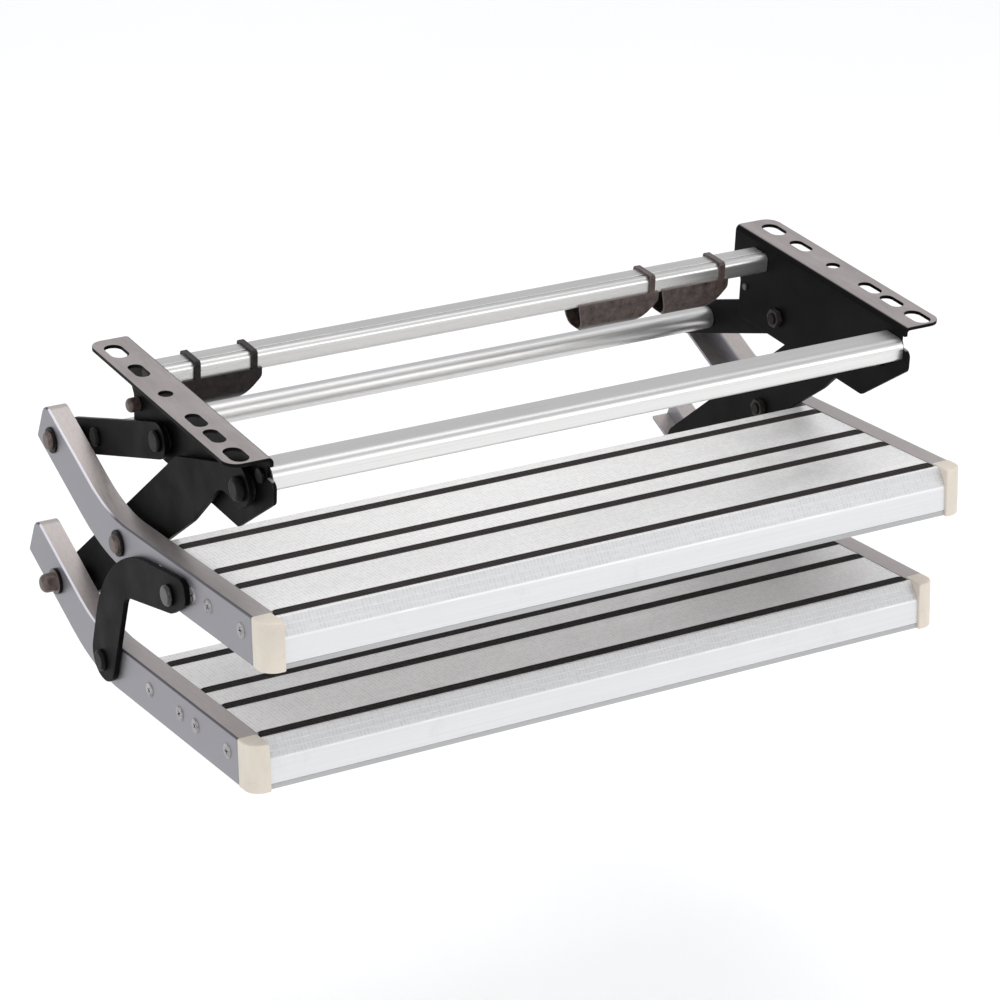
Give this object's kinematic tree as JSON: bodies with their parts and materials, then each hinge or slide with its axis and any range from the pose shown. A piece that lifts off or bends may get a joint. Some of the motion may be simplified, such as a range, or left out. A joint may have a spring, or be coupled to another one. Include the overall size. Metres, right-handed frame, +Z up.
{
  "type": "folding caravan entry step",
  "caption": "Folding entry step for a caravan: aluminium treads on cranked rails that swing out from under the floor on black steel links.",
  "frame": {"origin": "midway between the two round fixing holes, on top of the mounting flanges", "axes": "+X to the right seen from the front, +Y towards the rear under the vehicle, +Z up"},
  "size_m": [0.6706, 0.4401, 0.291],
  "materials": {
    "black_steel": "semi-gloss black powder coat",
    "bright_aluminium": "bright extruded",
    "rail_aluminium": "satin anodised grey",
    "tread_aluminium": "ribbed, pale satin",
    "grip_rubber": "ribbed matt",
    "cap_plastic": "ivory, fine grain",
    "clip_steel": "dark brown",
    "dark_steel": "dull plated"
  },
  "bodies": {
    "frame": {"left_bracket": "black_steel", "right_bracket": "black_steel", "front_crossbar": "bright_aluminium", "rear_crossbar": "bright_aluminium", "crossbar_bolts": "dark_steel", "link_pivot_bolts": "dark_steel", "arm_pivot_bolts": "dark_steel", "frame_washers": "dark_steel", "frame_nuts": "dark_steel", "stop_bolts": "dark_steel", "left_clip": "clip_steel", "right_inner_clip": "clip_steel", "right_outer_clip": "clip_steel"},
    "long_links": {"left_long_link": "black_steel", "right_long_link": "black_steel", "upper_hinge_bolts": "dark_steel", "lower_hinge_bolts": "dark_steel", "hinge_nuts": "dark_steel"},
    "rear_links": {"left_rear_link": "black_steel", "right_rear_link": "black_steel", "middle_crossbar": "bright_aluminium", "middle_bar_bolts": "dark_steel", "arm_end_pins": "dark_steel", "arm_end_nuts": "dark_steel"},
    "upper_step": {"upper_left_rail": "rail_aluminium", "upper_right_rail": "rail_aluminium", "upper_front_plank": "tread_aluminium", "upper_rear_plank": "tread_aluminium", "upper_grips": "grip_rubber", "upper_left_cap": "cap_plastic", "upper_right_cap": "cap_plastic", "upper_plank_screws": "dark_steel", "upper_spacers": "dark_steel", "upper_arm_bolts": "dark_steel", "upper_arm_spacers": "dark_steel", "lever_pivot_bolts": "dark_steel", "lever_washers": "dark_steel", "lever_nuts": "dark_steel"},
    "lower_step": {"lower_left_rail": "rail_aluminium", "lower_right_rail": "rail_aluminium", "lower_front_plank": "tread_aluminium", "lower_rear_plank": "tread_aluminium", "lower_grips": "grip_rubber", "lower_left_cap": "cap_plastic", "lower_right_cap": "cap_plastic", "lower_plank_screws": "dark_steel", "lower_spacers": "dark_steel", "lower_rail_pins": "dark_steel", "lower_rail_nuts": "dark_steel"},
    "levers": {"left_lever": "black_steel", "right_lever": "black_steel", "lever_end_bolts": "dark_steel"}
  },
  "joints": [
    {"name": "fold", "type": "hinge", "parent": "frame", "child": "long_links", "pos_m": [0, -0.1032, -0.038], "axis": [-1, 0, 0], "range_deg": [0, 85]},
    {"name": "arm_swing", "type": "hinge", "parent": "frame", "child": "rear_links", "pos_m": [0, 0.0427, -0.0603], "axis": [-1, 0, 0], "range_deg": [0, 118.19]},
    {"name": "upper_swing", "type": "hinge", "parent": "long_links", "child": "upper_step", "pos_m": [0, 0.06567, -0.15531], "axis": [1, 0, 0], "range_deg": [0, 91.41]},
    {"name": "lower_swing", "type": "hinge", "parent": "long_links", "child": "lower_step", "pos_m": [0, 0.18681, -0.24516], "axis": [1, 0, 0], "range_deg": [0, 91.41]},
    {"name": "lever_swing", "type": "hinge", "parent": "upper_step", "child": "levers", "pos_m": [0, -0.03803, -0.15221], "axis": [-1, 0, 0], "range_deg": [0, 78.06]}
  ],
  "couplings": [
    {"joint": "arm_swing", "follows": "fold", "ratio": 1.3899},
    {"joint": "upper_swing", "follows": "fold", "ratio": 1.0748},
    {"joint": "lower_swing", "follows": "fold", "ratio": 1.0748},
    {"joint": "lever_swing", "follows": "fold", "ratio": 0.91779}
  ]
}
